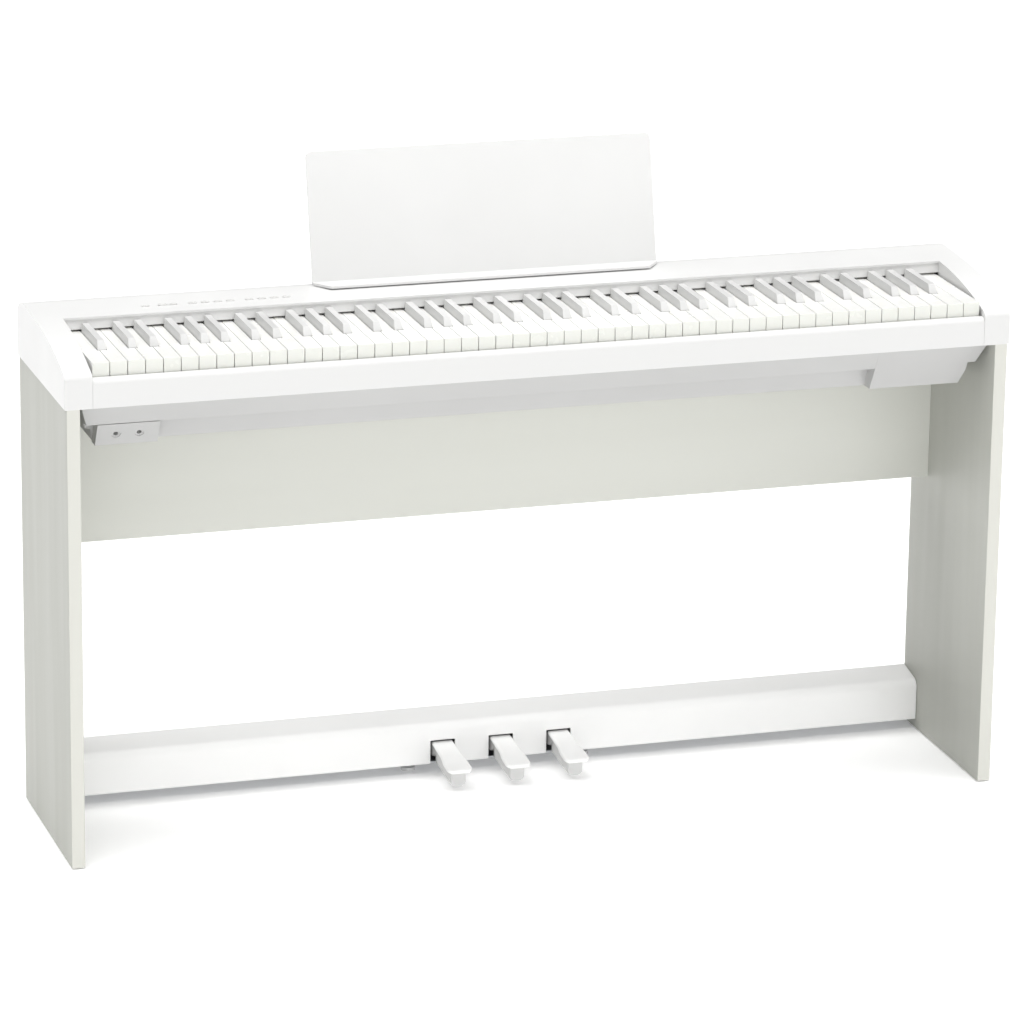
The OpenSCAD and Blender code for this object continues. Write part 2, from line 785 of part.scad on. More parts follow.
module speakers() {
    color("#2c2d2f") for (x = [-speaker_x, speaker_x])
        translate([x, front_y + speaker_u, case_z - belly_h + belly_wall + 0.2]) {
            difference() {
                union() {
                    cylinder(h = 3, r = speaker_r);
                    translate([0, 0, 2]) cylinder(h = 20, r1 = speaker_r - 8, r2 = 28);
                    translate([0, 0, 21]) cylinder(h = 16, r = 32);
                }
                translate([0, 0, -1]) cylinder(h = 20, r1 = speaker_r - 11, r2 = 22);
            }
        }
}

// ---- Key bed ----

chassis_plate = 2;
chassis_v = base_t;
rail_u = [key_setback + 6, key_setback + 32];
felt_v = key_under - key_travel - 0.7;
felt_t = 3;
board_u = [fall_u - 70, fall_u - 18];
contact_v = key_under - 14;
ear_t = 1.2;
first_c = 2;
octave = 7;

module key_chassis() {
    half = keys_w / 2 + key_end_gap - 0.6;
    top = chassis_v + chassis_plate;
    web = 2;
    rail_v = felt_v - felt_t;
    ear_top = pivot_v + 5;
    color("#8b8e91") difference() {
        union() {
            block([-half, key_setback + 4, chassis_v], [half, case_d - 24, top]);
            block([-half, rail_u[0], top - eps], [half, rail_u[0] + web, rail_v]);
            block([-half, rail_u[1] - web, top - eps], [half, rail_u[1], rail_v]);
            block([-half, rail_u[0], rail_v - web], [half, rail_u[1], rail_v]);
            for (u = [board_u[0], board_u[1] - web])
                block([-half, u, top - eps], [half, u + web, contact_v]);
            for (w = [first_c:octave:white_count]) let (x = -keys_w / 2 + w * key_pitch)
                block([x - ear_t / 2, pivot_u - 11, top - eps], [x + ear_t / 2, pivot_u + 11, ear_top]);
            both_sides() block([half - 1.5, pivot_u - 11, top - eps], [half, pivot_u + 11, ear_top]);
        }
        bar_x(-half - 1, half + 1, pivot_u, case_z + pivot_v, key_shaft_r + key_run);
    }
}

module key_shaft() {
    half = keys_w / 2 + key_end_gap - 0.5;
    color("#c9ccce") bar_x(-half, half, pivot_u, case_z + pivot_v, key_shaft_r);
}

// Felt on the front rail that the keys land on, and a strip behind the edge of the fallboard
module key_felt() {
    half = keys_w / 2;
    color("#9e9e9b") {
        block([-half, rail_u[0], felt_v - felt_t], [half, rail_u[1], felt_v]);
        block([-half, fall_u + 3 + case_wall + 0.1, white_top + 0.8],
            [half, fall_u + 3 + case_wall + 5, white_top + fall_gap + 4]);
    }
}

// Strip under the keys with one rubber dome for each key
module contact_board() {
    dome_r = 3.5;
    dome_top = key_under - 6.2;
    u = (board_u[0] + board_u[1]) / 2;
    color("#2f6b4f") {
        block([-keys_w / 2 + 1, board_u[0], contact_v], [keys_w / 2 - 1, board_u[1], contact_v + 1.6]);
        for (i = [0:note_count - 1]) translate([note_x(i), front_y + u, case_z + contact_v + 1.6 - eps])
            cylinder(h = dome_top - contact_v - 1.6, r1 = dome_r, r2 = dome_r - 1, $fn = 16);
    }
}

module main_board() {
    low = [-290, fall_u - 2, base_t + chassis_plate + 8];
    high = [60, pivot_u - 14, base_t + chassis_plate + 9.6];
    color("#2a6048") {
        block(low, high);
        for (x = [low[0] + 8, high[0] - 8]) for (u = [low[1] + 8, high[1] - 8])
            translate([x, front_y + u, case_z + base_t + chassis_plate + 0.1])
                cylinder(h = 8, r = 3);
        for (c = [[-200, 22, 22], [-150, 14, 14], [-90, 30, 16], [-20, 18, 18]])
            block([c[0], fall_u + 22, high[2] - eps], [c[0] + c[1], fall_u + 22 + c[2], high[2] + 2.5]);
    }
}

// ---- Keys ----

// Whites below each class within its octave, and how far each black key sits off the line
whites_below = [0, 1, 1, 2, 2, 3, 4, 4, 5, 5, 6, 6];
black_shift = [0, -2.6, 0, 2.6, 0, 0, -3.6, 0, 0, 0, 3.6, 0];
first_class = 9;
low_a_whites = 5;

function class_of(i) = (i + first_class) % 12;
function is_black(i) = let (n = class_of(i)) n == 1 || n == 3 || n == 6 || n == 8 || n == 10;
function white_index(i) = 7 * floor((i + first_class) / 12) + whites_below[class_of(i)] - low_a_whites;
function white_left(i) = -keys_w / 2 + white_index(i) * key_pitch;
function black_centre(i) = white_left(i) + black_shift[class_of(i)];
function tail_left(i) = i > 0 && is_black(i - 1)
    ? black_centre(i - 1) + black_w / 2 + key_gap : white_left(i) + key_gap / 2;
function tail_right(i) = i < note_count - 1 && is_black(i + 1)
    ? black_centre(i + 1) - black_w / 2 - key_gap : white_left(i) + key_pitch - key_gap / 2;
function note_x(i) = is_black(i) ? black_centre(i) : (tail_left(i) + tail_right(i)) / 2;

key_lip_t = 3;

module white_key(i) {
    xl = white_left(i) + key_gap / 2;
    xr = white_left(i) + key_pitch - key_gap / 2;
    tl = tail_left(i);
    tr = tail_right(i);
    head = black_front - 2;
    arm = fall_u + 3;
    difference() {
        union() {
            translate([0, front_y, case_z + key_under]) linear_extrude(height = key_t)
                polygon([[xl, key_setback], [xr, key_setback], [xr, head], [tr, head], [tr, arm],
                    [tr - arm_inset, arm], [tr - arm_inset, arm_end], [tl + arm_inset, arm_end],
                    [tl + arm_inset, arm], [tl, arm], [tl, head], [xl, head]]);
            block([xl, key_setback, white_top - key_lip_h],
                [xr, key_setback + key_lip_t, key_under + eps]);
        }
        bar_x(xl - 1, xr + 1, pivot_u, case_z + pivot_v, key_shaft_r + key_run);
    }
}

module black_key(i) {
    x = black_centre(i);
    half = black_w / 2;
    taper = (black_w - black_top_w) / 2;
    top = white_top + black_rise;
    rear = fall_u - 1.5;
    nose = 7;
    difference() {
        union() {
            intersection() {
                along_x(x - half, x + half, [[black_front, key_under], [black_front, white_top],
                    [black_front + nose, top - 1], [black_front + nose + 3, top], [rear, top],
                    [rear, key_under]]);
                translate([x, front_y + case_d, case_z]) rotate([90, 0, 0])
                    linear_extrude(height = case_d) polygon([[-half, 0], [half, 0], [half, white_top],
                        [half - taper, top + eps], [-half + taper, top + eps], [-half, white_top]]);
            }
            block([x - half + arm_inset, rear - eps, key_under],
                [x + half - arm_inset, arm_end, white_top]);
        }
        bar_x(x - half - 1, x + half + 1, pivot_u, case_z + pivot_v, key_shaft_r + key_run);
    }
}

// All the keys of one class outside the middle octave
module class_keys(n) {
    for (i = [0:note_count - 1]) if (class_of(i) == n && (i < middle_first || i > middle_last)) {
        if (is_black(i)) black_key(i);
        else white_key(i);
    }
}

ivory = "#f0efe8";
ebony = "#c9c9c8";

module keys_c() { color(ivory) class_keys(0); }
module keys_c_sharp() { color(ebony) class_keys(1); }
module keys_d() { color(ivory) class_keys(2); }
module keys_d_sharp() { color(ebony) class_keys(3); }
module keys_e() { color(ivory) class_keys(4); }
module keys_f() { color(ivory) class_keys(5); }
module keys_f_sharp() { color(ebony) class_keys(6); }
module keys_g() { color(ivory) class_keys(7); }
module keys_g_sharp() { color(ebony) class_keys(8); }
module keys_a() { color(ivory) class_keys(9); }
module keys_a_sharp() { color(ebony) class_keys(10); }
module keys_b() { color(ivory) class_keys(11); }
module key_middle_c() { color(ivory) white_key(middle_first); }
module key_middle_c_sharp() { color(ebony) black_key(middle_first + 1); }
module key_middle_d() { color(ivory) white_key(middle_first + 2); }
module key_middle_d_sharp() { color(ebony) black_key(middle_first + 3); }
module key_middle_e() { color(ivory) white_key(middle_first + 4); }
module key_middle_f() { color(ivory) white_key(middle_first + 5); }
module key_middle_f_sharp() { color(ebony) black_key(middle_first + 6); }
module key_middle_g() { color(ivory) white_key(middle_first + 7); }
module key_middle_g_sharp() { color(ebony) black_key(middle_first + 8); }
module key_middle_a() { color(ivory) white_key(middle_first + 9); }
module key_middle_a_sharp() { color(ebony) black_key(middle_first + 10); }
module key_middle_b() { color(ivory) white_key(middle_last); }

// ---- Music rest ----

// A leaning plate on a narrow shelf, with tabs that drop into the case
module music_rest() {
    shelf_d = 27;
    shelf_t = 3.5;
    low = panel_v(rest_u) + 0.5;
    foot = low + shelf_t;
    top = panel_v(rest_u) + rest_h;
    corner = 8;
    sunk = 1.5;
    slope_len = (top - foot + sunk) / cos(rest_lean);
    half = rest_w / 2;
    shelf_half = half - 0.5;
    color("#f6f6f5") {
        // Plate with round top corners
        translate([-rest_shift, front_y + rest_u, case_z + foot - sunk]) rotate([90 - rest_lean, 0, 0])
            translate([0, 0, -rest_t]) linear_extrude(height = rest_t) polygon(concat(
                [[-half, 0], [half, 0]],
                arc(half - corner, slope_len - corner, corner, 0, 90, 6),
                arc(-half + corner, slope_len - corner, corner, 90, 180, 6)));
        // Shelf, its front corners cut back
        translate([-rest_shift, front_y + rest_u, case_z + low]) linear_extrude(height = shelf_t)
            polygon([[-shelf_half, rest_t + 1], [-shelf_half, -4], [-shelf_half + 18, -shelf_d],
                [shelf_half - 18, -shelf_d], [shelf_half, -4], [shelf_half, rest_t + 1]]);
        for (x = rest_tabs)
            block([x - tab_w / 2, rest_u, low - tab_depth], [x + tab_w / 2, rest_u + rest_t, low + eps]);
    }
}

side_board_left();
side_board_right();
back_board();
corner_brackets();
stand_screws();
case_bolts();
floor_glides();
pedal_rail();
pedal_chassis();
pedal_shaft();
rail_feet();
pedal_left();
pedal_centre();
pedal_right();
pedal_spring_left();
pedal_spring_centre();
pedal_spring_right();
upper_case();
key_slip();
case_base();
case_screws();
speaker_box();
headphone_box();
speakers();
key_chassis();
key_shaft();
key_felt();
contact_board();
main_board();
rear_sockets();
panel_board();
music_rest();
power_button();
volume_rocker();
tone_buttons();
function_buttons();
keys_c();
keys_c_sharp();
keys_d();
keys_d_sharp();
keys_e();
keys_f();
keys_f_sharp();
keys_g();
keys_g_sharp();
keys_a();
keys_a_sharp();
keys_b();
key_middle_c();
key_middle_c_sharp();
key_middle_d();
key_middle_d_sharp();
key_middle_e();
key_middle_f();
key_middle_f_sharp();
key_middle_g();
key_middle_g_sharp();
key_middle_a();
key_middle_a_sharp();
key_middle_b();
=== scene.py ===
import math
import bpy
import numpy as np
from mathutils import Matrix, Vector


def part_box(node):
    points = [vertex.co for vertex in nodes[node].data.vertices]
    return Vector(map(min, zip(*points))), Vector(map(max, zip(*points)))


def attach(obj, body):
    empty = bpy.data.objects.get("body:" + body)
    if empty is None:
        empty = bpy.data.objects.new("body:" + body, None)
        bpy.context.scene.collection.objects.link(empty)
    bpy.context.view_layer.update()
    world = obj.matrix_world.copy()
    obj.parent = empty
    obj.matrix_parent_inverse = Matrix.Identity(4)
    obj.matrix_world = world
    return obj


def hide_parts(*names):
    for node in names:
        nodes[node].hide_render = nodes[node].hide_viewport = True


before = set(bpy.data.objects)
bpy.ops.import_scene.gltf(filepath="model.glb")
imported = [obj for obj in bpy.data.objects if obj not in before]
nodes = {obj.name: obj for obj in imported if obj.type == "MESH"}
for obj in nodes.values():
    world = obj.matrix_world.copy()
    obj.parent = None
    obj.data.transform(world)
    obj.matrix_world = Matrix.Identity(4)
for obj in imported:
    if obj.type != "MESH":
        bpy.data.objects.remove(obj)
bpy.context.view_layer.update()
scene = bpy.context.scene
scene.view_settings.view_transform = "Standard"
print("frame loaded:", len(nodes), "nodes")

# Camera: in front, to the left and above, with a long lens
cameraView = {"place": (-2.042, -6.434, 2.453), "turn": 17.57, "dip": 16.93, "roll": 0.76, "lens": 183.8}
cameraData = bpy.data.cameras.new("camera")
cameraData.lens = cameraView["lens"]
cameraData.sensor_width = 36
cameraData.clip_end = 200
camera = bpy.data.objects.new("camera", cameraData)
scene.collection.objects.link(camera)
camera.matrix_world = (Matrix.Translation(cameraView["place"])
                       @ Matrix.Rotation(math.radians(-cameraView["turn"]), 4, "Z")
                       @ Matrix.Rotation(math.radians(90 - cameraView["dip"]), 4, "X")
                       @ Matrix.Rotation(math.radians(cameraView["roll"]), 4, "Z"))
scene.camera = camera


# sRGB hex to linear light, each channel through the sRGB curve
def toLinear(hexColour):
    return tuple(c / 12.92 if c <= 0.04045 else ((c + 0.055) / 1.055) ** 2.4
                 for c in (int(hexColour[i:i + 2], 16) / 255 for i in (1, 3, 5))) + (1.0,)


# Floor: a wide pale sheet of the studio
floorData = bpy.data.meshes.new("floor")
floorData.from_pydata([(-40, -40, 0), (40, -40, 0), (40, 40, 0), (-40, 40, 0)], [], [(0, 1, 2, 3)])
floor = bpy.data.objects.new("floor", floorData)
scene.collection.objects.link(floor)

# Light: a dim pale room, a broad light almost overhead that leans left, one from the right,
# and a low one from the front that reaches the speaker box, the rail and the treads
room = {"colour": "#FFFFFF", "strength": 0.2}
world = bpy.data.worlds.new("room")
scene.world = world
world.use_nodes = True
world.node_tree.nodes["Background"].inputs["Color"].default_value = toLinear(room["colour"])
world.node_tree.nodes["Background"].inputs["Strength"].default_value = room["strength"]
broadLights = {
    "overhead": {"azimuth": -75, "height": 75, "strength": 3.0, "spread": 60},
    "right": {"azimuth": 70, "height": 45, "strength": 1.3, "spread": 60},
    "front": {"azimuth": 0, "height": 5, "strength": 1.35, "spread": 60},
}
for lightName, wanted in broadLights.items():
    lightData = bpy.data.lights.new(lightName, "SUN")
    lightData.energy = wanted["strength"]
    lightData.angle = math.radians(wanted["spread"])
    light = bpy.data.objects.new(lightName, lightData)
    scene.collection.objects.link(light)
    light.matrix_world = (Matrix.Rotation(math.radians(wanted["azimuth"]), 4, "Z")
                          @ Matrix.Rotation(math.radians(90 - wanted["height"]), 4, "X"))
print("camera, floor and lights placed")


# Adds a shader node: settings are its own properties or its inputs, links are input: (node, output)
def addNode(tree, kind, settings=None, links=None):
    node = tree.nodes.new("ShaderNode" + kind)
    for key, value in (settings or {}).items():
        if hasattr(node, str(key)):
            setattr(node, key, value)
        else:
            node.inputs[key].default_value = value
    for key, (source, output) in (links or {}).items():
        tree.links.new(source.outputs[output], node.inputs[key])
    return node


# A new material, its node tree, its shader, and the node that gives the object's coordinates
def newMaterial(name, colour, roughness, metallic=0.0, ior=1.5):
    material = bpy.data.materials.new(name)
    material.use_nodes = True
    tree = material.node_tree
    shader = tree.nodes["Principled BSDF"]
    shader.inputs["Base Color"].default_value = toLinear(colour)
    shader.inputs["Roughness"].default_value = roughness
    shader.inputs["Metallic"].default_value = metallic
    if not metallic:
        shader.inputs["IOR"].default_value = ior
    material.diffuse_color = toLinear(colour)
    return material, tree, shader, addNode(tree, "TexCoord")


# Noise whose features are sizeMm across, remapped to run from low to high
def noiseValue(tree, place, sizeMm, low, high, detail=3.0, stretch=(1, 1, 1)):
    spot = addNode(tree, "Mapping", {"Scale": stretch}, {"Vector": (place, "Object")})
    noise = addNode(tree, "TexNoise", {"Scale": 1000 / sizeMm, "Detail": detail},
                    {"Vector": (spot, "Vector")})
    return addNode(tree, "MapRange", {"From Min": 0.3, "From Max": 0.7, "To Min": low, "To Max": high},
                   {"Value": (noise, "Fac")})


# Mixes two colours by a value from 0 to 1 and feeds the result on
def mixColours(tree, value, first, second):
    ramp = addNode(tree, "ValToRGB", {}, {"Fac": (value, value.outputs[0].name)})
    ramp.color_ramp.elements[0].color = toLinear(first)
    ramp.color_ramp.elements[1].color = toLinear(second)
    return ramp


# Dents the shader's normal by a height from 0 to 1
def addBump(tree, shader, height, distanceMm, strength=0.5):
    bump = addNode(tree, "Bump", {"Strength": strength, "Distance": distanceMm / 1000},
                   {"Height": (height, height.outputs[0].name)})
    tree.links.new(bump.outputs["Normal"], shader.inputs["Normal"])


# A moulded plastic or a coat of paint: a fine bump, slow change of tone and of gloss
def finishSurface(tree, shader, place, first, second, grainMm, depthMm, rough, toneMm=160, stretch=(1, 1, 1)):
    tone = noiseValue(tree, place, toneMm, 0, 1, 2, stretch)
    colour = mixColours(tree, tone, first, second)
    tree.links.new(colour.outputs["Color"], shader.inputs["Base Color"])
    gloss = noiseValue(tree, place, toneMm / 3, rough[0], rough[1], 2, stretch)
    tree.links.new(gloss.outputs["Result"], shader.inputs["Roughness"])
    addBump(tree, shader, noiseValue(tree, place, grainMm, 0, 1, 2, stretch), depthMm)
    return colour


# Paints light or shade on the faces in front of a depth of their own, in metres, by giving them a colour of
# their own
def tintFront(tree, shader, place, colour, frontColour, nearY, farY):
    apart = addNode(tree, "SeparateXYZ", {}, {"Vector": (place, "Object")})
    band = addNode(tree, "MapRange", {"From Min": nearY, "From Max": farY, "To Min": 1, "To Max": 0},
                   {"Value": (apart, "Y")})
    mix = addNode(tree, "Mix", {"data_type": "RGBA", 7: toLinear(frontColour)},
                  {"Factor": (band, "Result"), 6: (colour, "Color")})
    tree.links.new(mix.outputs[2], shader.inputs["Base Color"])


# Moulded ABS with a fine spark-eroded grain, which takes the mirror out of its highlights.
# The real grain is 0.1 mm; it is drawn 0.8 mm wide so that it shows.
# The upright front face is given painted shade, a colour a little darker than the top
caseAbs, tree, shader, place = newMaterial("mouldedAbsWhite", "#DADAD9", 0.42)
caseColour = finishSurface(tree, shader, place, "#D9D9D8", "#DCDCDB", 0.8, 0.012, (0.38, 0.46))
tintFront(tree, shader, place, caseColour, "#CFCFCE", -0.1419, -0.1365)

# The music rest is in the same ABS, a shade darker as painted shade
restAbsPaintedShade, tree, shader, place = newMaterial("mouldedAbsRest", "#D6D6D5", 0.42)
finishSurface(tree, shader, place, "#D5D5D4", "#D8D8D7", 0.8, 0.012, (0.38, 0.46))

# The rail: an even white with a faint orange peel 2 mm across, made brighter than the case as painted light
railPaintedLight, tree, shader, place = newMaterial("satinPaintWhite", "#F1F1F0", 0.45)
finishSurface(tree, shader, place, "#EFEFEE", "#F3F3F2", 2.0, 0.01, (0.4, 0.5))

# The same ABS in light grey for the speaker box
greyAbs, tree, shader, place = newMaterial("mouldedAbsGrey", "#B2B2B1", 0.5)
finishSurface(tree, shader, place, "#B0B0AF", "#B4B4B3", 0.8, 0.015, (0.46, 0.55))

# White keys, moulded acrylic: buffed tops with soft clear highlights, and painted shade that makes the fronts
# a shade darker
keyAcrylic, tree, shader, place = newMaterial("buffedAcrylicIvory", "#E8E7E0", 0.22, ior=1.49)
keyColour = finishSurface(tree, shader, place, "#E8E8E5", "#EBEBE8", 1.5, 0.003, (0.18, 0.28), 60)
tintFront(tree, shader, place, keyColour, "#D7D8D2", -0.1279, -0.1273)
shader.inputs["Subsurface Weight"].default_value = 0.05
shader.inputs["Subsurface Radius"].default_value = (0.002, 0.0016, 0.001)

# Raised keys, moulded in grey with a fine grain along their length for grip
sharpAbs, tree, shader, place = newMaterial("grainedAbsGreyKey", "#CFCFCE", 0.38)
finishSurface(tree, shader, place, "#C8C8C7", "#D2D2D1", 0.7, 0.03, (0.32, 0.45), 30, (1, 0.08, 1))

# Melamine-faced particle board: matt pale grey with a faint upright grain pressed into the face,
# and an edge band along the front whose lighter colour is painted light
boardMelamine, tree, shader, place = newMaterial("melamineBoardPaleGrey", "#AFB0A9", 0.5)
boardColour = finishSurface(tree, shader, place, "#ADAEA7", "#B1B2AB", 2.2, 0.05, (0.45, 0.58), 90,
                            (1, 1, 0.06))
tintFront(tree, shader, place, boardColour, "#C6C6BF", -0.1416, -0.1411)

# The back board has the same facing, a lighter copy of it as painted light, its grain lying along the board
backMelaminePaintedLight, tree, shader, place = newMaterial("melamineBoardLighter", "#CDCEC7", 0.5)
finishSurface(tree, shader, place, "#CBCCC5", "#CFD0C9", 2.2, 0.05, (0.45, 0.58), 90, (0.06, 1, 1))

# Powder coat on the treads: a full white, a faint orange peel 4 mm across
powderCoat, tree, shader, place = newMaterial("powderCoatWhite", "#F7F7F6", 0.4)
finishSurface(tree, shader, place, "#F6F6F5", "#F8F8F7", 4.0, 0.004, (0.36, 0.44), 40)

# Moulded body of a pedal and the rail's feet: pale grey ABS, left matt
paleAbs, tree, shader, place = newMaterial("mouldedAbsPaleGrey", "#D4D4D3", 0.5)
finishSurface(tree, shader, place, "#D2D2D1", "#D6D6D5", 0.8, 0.01, (0.46, 0.54))

# Zinc-plated sheet: cool metal with spangle patches about 6 mm wide
zincSteel, tree, shader, place = newMaterial("zincPlatedSteel", "#BFC2C5", 0.38, 1.0)
finishSurface(tree, shader, place, "#B4B7BA", "#C9CCCE", 6, 0.004, (0.3, 0.46), 6)

# Drawn bar: bright, with fine lines along its length
drawnSteel, tree, shader, place = newMaterial("drawnSteelBar", "#C6C8CA", 0.22, 1.0)
finishSurface(tree, shader, place, "#BDBFC1", "#CCCED0", 0.8, 0.004, (0.18, 0.3), 5, (0.02, 1, 1))

# Spring wire, oiled and darker
springSteel, tree, shader, place = newMaterial("springSteelWire", "#8E9193", 0.3, 1.0)
finishSurface(tree, shader, place, "#84878A", "#989B9D", 1.0, 0.003, (0.25, 0.38), 4)

# Black zinc on screws and thumb bolts: dark, satin
blackZinc, tree, shader, place = newMaterial("blackZincSteel", "#3C3D3F", 0.4, 0.6)
finishSurface(tree, shader, place, "#363739", "#434446", 1.0, 0.006, (0.34, 0.48), 8)

# Pressed wool felt: fibres 0.6 mm wide lie every way, so it scatters light at its edge
feltWool, tree, shader, place = newMaterial("pressedFeltGrey", "#6B6A68", 0.95)
finishSurface(tree, shader, place, "#5F5E5C", "#7A7977", 0.6, 0.12, (0.9, 1.0), 3)
shader.inputs["Sheen Weight"].default_value = 0.4
shader.inputs["Sheen Roughness"].default_value = 0.5

# The strip the keys land on is felt in a pale colour, painted light so that the gaps between the keys don't
# look black
feltPaintedLight, tree, shader, place = newMaterial("pressedFeltPale", "#CFCFCC", 0.95)
finishSurface(tree, shader, place, "#CACAC7", "#D4D4D1", 0.6, 0.06, (0.9, 1.0), 3)

# Circuit board laminate: green lacquer over copper tracks about 1.5 mm wide
circuitLaminate, tree, shader, place = newMaterial("circuitBoardLacquer", "#2F6B4F", 0.35)
tracks = addNode(tree, "TexVoronoi", {"distance": "CHEBYCHEV", "feature": "DISTANCE_TO_EDGE", "Scale": 220.0},
                 {"Vector": (place, "Object")})
trackMask = addNode(tree, "MapRange", {"From Min": 0.03, "From Max": 0.06}, {"Value": (tracks, "Distance")})
trackColour = mixColours(tree, trackMask, "#4E8F6C", "#28593F")
tree.links.new(trackColour.outputs["Color"], shader.inputs["Base Color"])
addBump(tree, shader, trackMask, 0.035)

# Moulded black nylon of the sockets, and the paper cones with their pressed fibres
socketNylon, tree, shader, place = newMaterial("mouldedNylonBlack", "#26272A", 0.45, ior=1.53)
finishSurface(tree, shader, place, "#222326", "#2C2D30", 0.8, 0.015, (0.4, 0.52), 20)
conePaper, tree, shader, place = newMaterial("pressedPaperCone", "#232324", 0.85)
finishSurface(tree, shader, place, "#1E1E1F", "#2B2B2C", 1.2, 0.08, (0.8, 0.95), 10)

# Buttons: the case's ABS, a shade darker and smoother where fingers polish it
buttonAbs, tree, shader, place = newMaterial("satinAbsButtons", "#E6E6E4", 0.3)
finishSurface(tree, shader, place, "#D2D2D0", "#DADAD8", 1.0, 0.006, (0.24, 0.36), 8)

# Floor: pale matt paper, given a little light of its own, which thins the shadows on it
floorPaper, tree, shader, place = newMaterial("studioPaperWhite", "#FFFFFF", 0.9)
shader.inputs["Emission Color"].default_value = toLinear("#FFFFFF")
shader.inputs["Emission Strength"].default_value = 0.12
floorData.materials.append(floorPaper)
print("materials made")

finishOf = {
    "side_board_left": boardMelamine, "side_board_right": boardMelamine, "back_board": backMelaminePaintedLight,
    "corner_brackets": zincSteel, "stand_screws": zincSteel, "case_bolts": blackZinc,
    "floor_glides": feltWool, "pedal_rail": railPaintedLight, "pedal_chassis": zincSteel,
    "pedal_shaft": drawnSteel, "rail_feet": paleAbs,
    "pedal_left": powderCoat, "pedal_centre": powderCoat, "pedal_right": powderCoat,
    "pedal_spring_left": springSteel, "pedal_spring_centre": springSteel, "pedal_spring_right": springSteel,
    "upper_case": caseAbs, "key_slip": caseAbs, "case_base": caseAbs, "case_screws": blackZinc,
    "speaker_box": greyAbs, "headphone_box": greyAbs, "speakers": conePaper, "key_chassis": zincSteel,
    "key_shaft": drawnSteel, "key_felt": feltPaintedLight, "contact_board": circuitLaminate,
    "main_board": circuitLaminate, "rear_sockets": socketNylon, "panel_board": circuitLaminate,
    "music_rest": restAbsPaintedShade, "power_button": buttonAbs, "volume_rocker": buttonAbs,
    "tone_buttons": buttonAbs, "function_buttons": buttonAbs,
}
for nodeName, node in nodes.items():
    finish = finishOf.get(nodeName) or (sharpAbs if "sharp" in nodeName else keyAcrylic)
    node.data.materials.clear()
    node.data.materials.append(finish)
print("finishes given to the CAD nodes")

# Edges that a hand would find rounded: weld the loose triangles, bevel the real edges, smooth the rest
softEdges = {"upper_case": 0.4, "key_slip": 0.3, "speaker_box": 1.2, "headphone_box": 0.8, "pedal_rail": 1.0,
             "case_base": 0.4, "side_board_left": 0.4, "side_board_right": 0.4, "back_board": 0.4,
             "rail_feet": 0.6, "power_button": 0.4, "volume_rocker": 0.4, "tone_buttons": 0.4,
             "function_buttons": 0.4, "music_rest": 0.8}
for nodeName, node in nodes.items():
    width = softEdges.get(nodeName, 0.6 if nodeName.startswith(("keys_", "key_middle_")) else 0)
    if not width:
        continue
    weld = node.modifiers.new("weld", "WELD")
    weld.merge_threshold = 0.00001
    bevel = node.modifiers.new("bevel", "BEVEL")
    bevel.width = width / 1000
    bevel.segments = 2
    bevel.limit_method = "ANGLE"
    bevel.angle_limit = math.radians(25)
    bevel.use_clamp_overlap = True
    node.modifiers.new("normals", "WEIGHTED_NORMAL").weight = 100
print("edges softened")


# A closed surface through rings that stand along Y. Each ring is a rectangle with round corners:
# x = centre +- (halfWidth - r) + r cos a, z = low + r or high - r, + r sin a, a running once round
def ringSurface(name, centreX, rings, steps=7):
    corner = np.linspace(0, np.pi / 2, steps)
    angle = np.concatenate([corner + k * np.pi / 2 for k in range(4)])
    side = np.repeat([1, -1, -1, 1], steps)
    upper = np.repeat([1, 1, 0, 0], steps)
    y, halfWidth, low, high, lowRound, highRound = (np.array(column)[:, None] for column in zip(*rings))
    limit = np.minimum(halfWidth, (high - low) / 2) * 0.98
    radius = np.where(upper, np.minimum(highRound, limit), np.minimum(lowRound, limit))
    x = centreX + side * (halfWidth - radius) + radius * np.cos(angle)
    z = np.where(upper, high - radius, low + radius) + radius * np.sin(angle)
    points = np.stack([x, y + 0 * x, z], -1).reshape(-1, 3)
    around, along = len(angle), len(rings)
    faces = [(i * around + j, i * around + (j + 1) % around, (i + 1) * around + (j + 1) % around,
              (i + 1) * around + j) for i in range(along - 1) for j in range(around)]
    faces.append(tuple(range(around - 1, -1, -1)))
    faces.append(tuple(range((along - 1) * around, along * around)))
    mesh = bpy.data.meshes.new(name)
    mesh.from_pydata((points / 1000).tolist(), [], faces)
    for polygon in mesh.polygons[:-2]:
        polygon.use_smooth = True
    piece = bpy.data.objects.new(name, mesh)
    scene.collection.objects.link(piece)
    return piece


# How far a round of that radius has closed at a distance from its end: 0 at the end, 1 past the radius
def roundedEnd(distance, radius):
    return np.sqrt(np.clip(1 - (1 - np.clip(distance / radius, 0, 1)) ** 2, 0, 1))


# Pedals: a white tread that widens to a round nose, and a grey body under it that ends in a hub.
# All in mm; stations are distances back from the nose at which a ring stands
treadShape = {"top": 34, "slope": 7.5, "thick": 5, "noseHalf": 18, "neckHalf": 15, "noseRound": 10,
              "rim": 2.4, "rimStart": 0.1, "taperFrom": 22, "taperLength": 30, "straightFrom": 12,
              "length": 94}
bodyShape = {"front": 12, "rear": 86, "half": 11, "noseRound": 3, "noseEnd": 18, "low": 7.5, "rearLow": 15,
             "sunk": 3.5, "lowRound": 6, "highRound": 0.8, "roundTo": 90, "armRound": 1, "armFrom": 92,
             "armHalf": 14, "armLow": 25, "armFall": 0.2, "armStations": (94, 115), "hubAt": 124,
             "hubReach": 7.9, "hubHeight": 32, "hubRadius": 8, "hubHalf": 15}
treadRise = math.tan(math.radians(treadShape["slope"]))
treadStations = np.concatenate([treadShape["noseRound"] * (1 - np.cos(np.linspace(0.08, 1.57, 12))),
                                np.linspace(treadShape["straightFrom"], treadShape["length"], 30)])
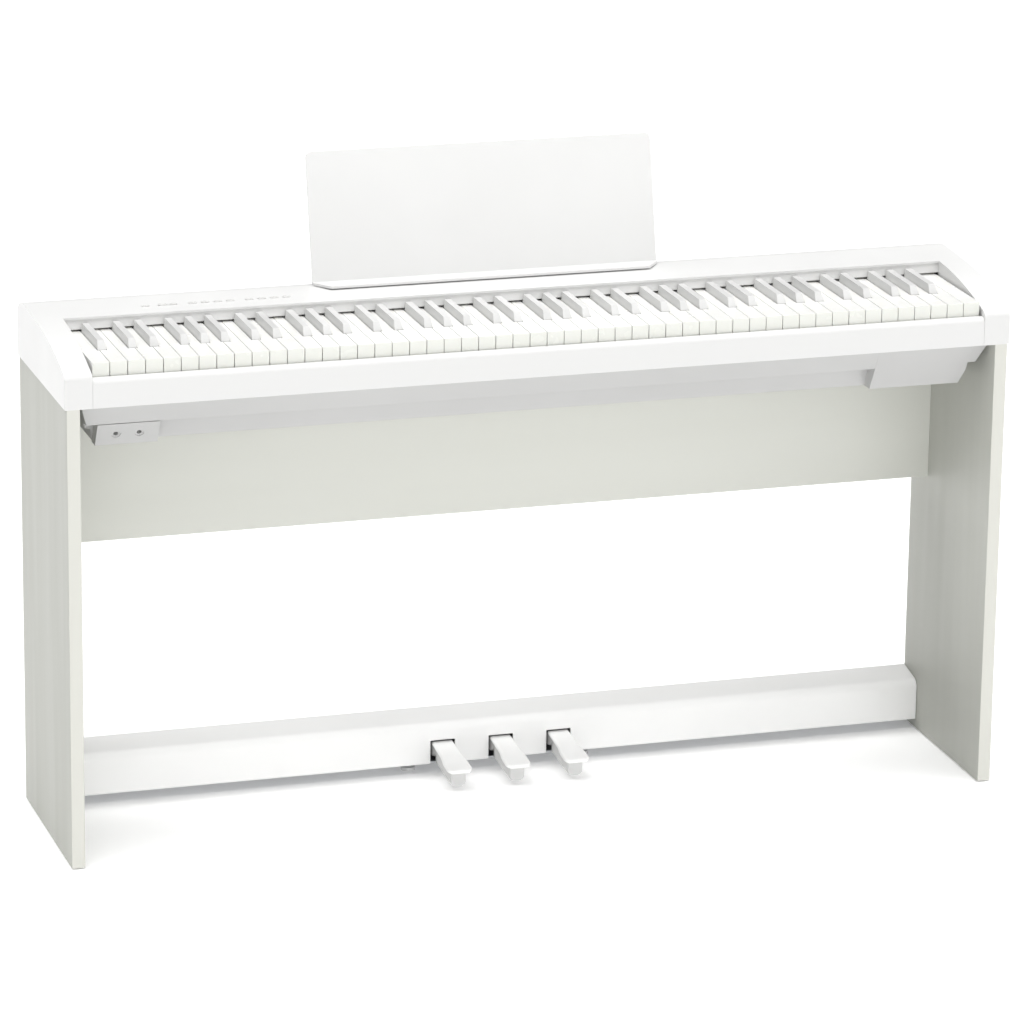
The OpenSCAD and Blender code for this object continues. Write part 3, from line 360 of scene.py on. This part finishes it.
bodyStations = np.concatenate([
    bodyShape["front"] + bodyShape["noseRound"] * (1 - np.cos(np.linspace(0.1, 1.57, 6))),
    np.linspace(bodyShape["noseEnd"], bodyShape["rear"], 12), [bodyShape["rear"] + 0.3],
    np.linspace(*bodyShape["armStations"], 5),
    bodyShape["hubAt"] + bodyShape["hubReach"] * np.sin(np.linspace(-1.5, 1.5, 17))])
for side in ("left", "centre", "right"):
    nodeName = "pedal_" + side
    low, high = (1000 * np.array(corner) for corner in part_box(nodeName))
    centreX, noseY = (low[0] + high[0]) / 2, low[1]
    rings = []
    for d in treadStations:
        taper = np.clip((d - treadShape["taperFrom"]) / treadShape["taperLength"], 0, 1)
        slimming = treadShape["noseHalf"] - treadShape["neckHalf"]
        half = treadShape["noseHalf"] - slimming * (1 - np.cos(np.pi * taper)) / 2
        half -= treadShape["noseRound"] * (1 - roundedEnd(d, treadShape["noseRound"]))
        thick = treadShape["thick"] / 2 * roundedEnd(d + treadShape["rimStart"], treadShape["rim"])
        middle = treadShape["top"] - treadShape["thick"] / 2 + d * treadRise
        rings.append((noseY + d, half, middle - thick, middle + thick, treadShape["rim"], treadShape["rim"]))
    tread = ringSurface("tread_" + side, centreX, rings)
    tread.data.materials.append(powderCoat)
    rings = []
    for d in bodyStations:
        inHub = math.sqrt(max(0.0, bodyShape["hubRadius"] ** 2 - (d - bodyShape["hubAt"]) ** 2))
        share = (d - bodyShape["front"]) / (bodyShape["rear"] - bodyShape["front"])
        under = bodyShape["low"] + (bodyShape["rearLow"] - bodyShape["low"]) * share
        over = treadShape["top"] - bodyShape["sunk"] + min(d, treadShape["length"]) * treadRise
        over -= max(0, d - treadShape["length"]) * bodyShape["armFall"]
        noseLeft = 1 - roundedEnd(d - bodyShape["front"], bodyShape["noseRound"])
        half = bodyShape["half"] - bodyShape["noseRound"] * noseLeft
        if d > bodyShape["rear"]:
            under = bodyShape["armLow"]
        if d > bodyShape["armFrom"]:
            half = bodyShape["armHalf"]
        if inHub > 0:
            half = bodyShape["hubHalf"]
            under, over = bodyShape["hubHeight"] - inHub, bodyShape["hubHeight"] + inHub
        lowRound = bodyShape["lowRound"] if d < bodyShape["roundTo"] else bodyShape["armRound"]
        rings.append((noseY + d, half, under, over, lowRound, bodyShape["highRound"]))
    body = ringSurface("pedal_body_" + side, centreX, rings)
    body.data.materials.append(paleAbs)
    for piece, slotName in ((tread, "white_steel"), (body, "foot_grey")):
        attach(piece, nodeName)
    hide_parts(nodeName)
print("pedals made")
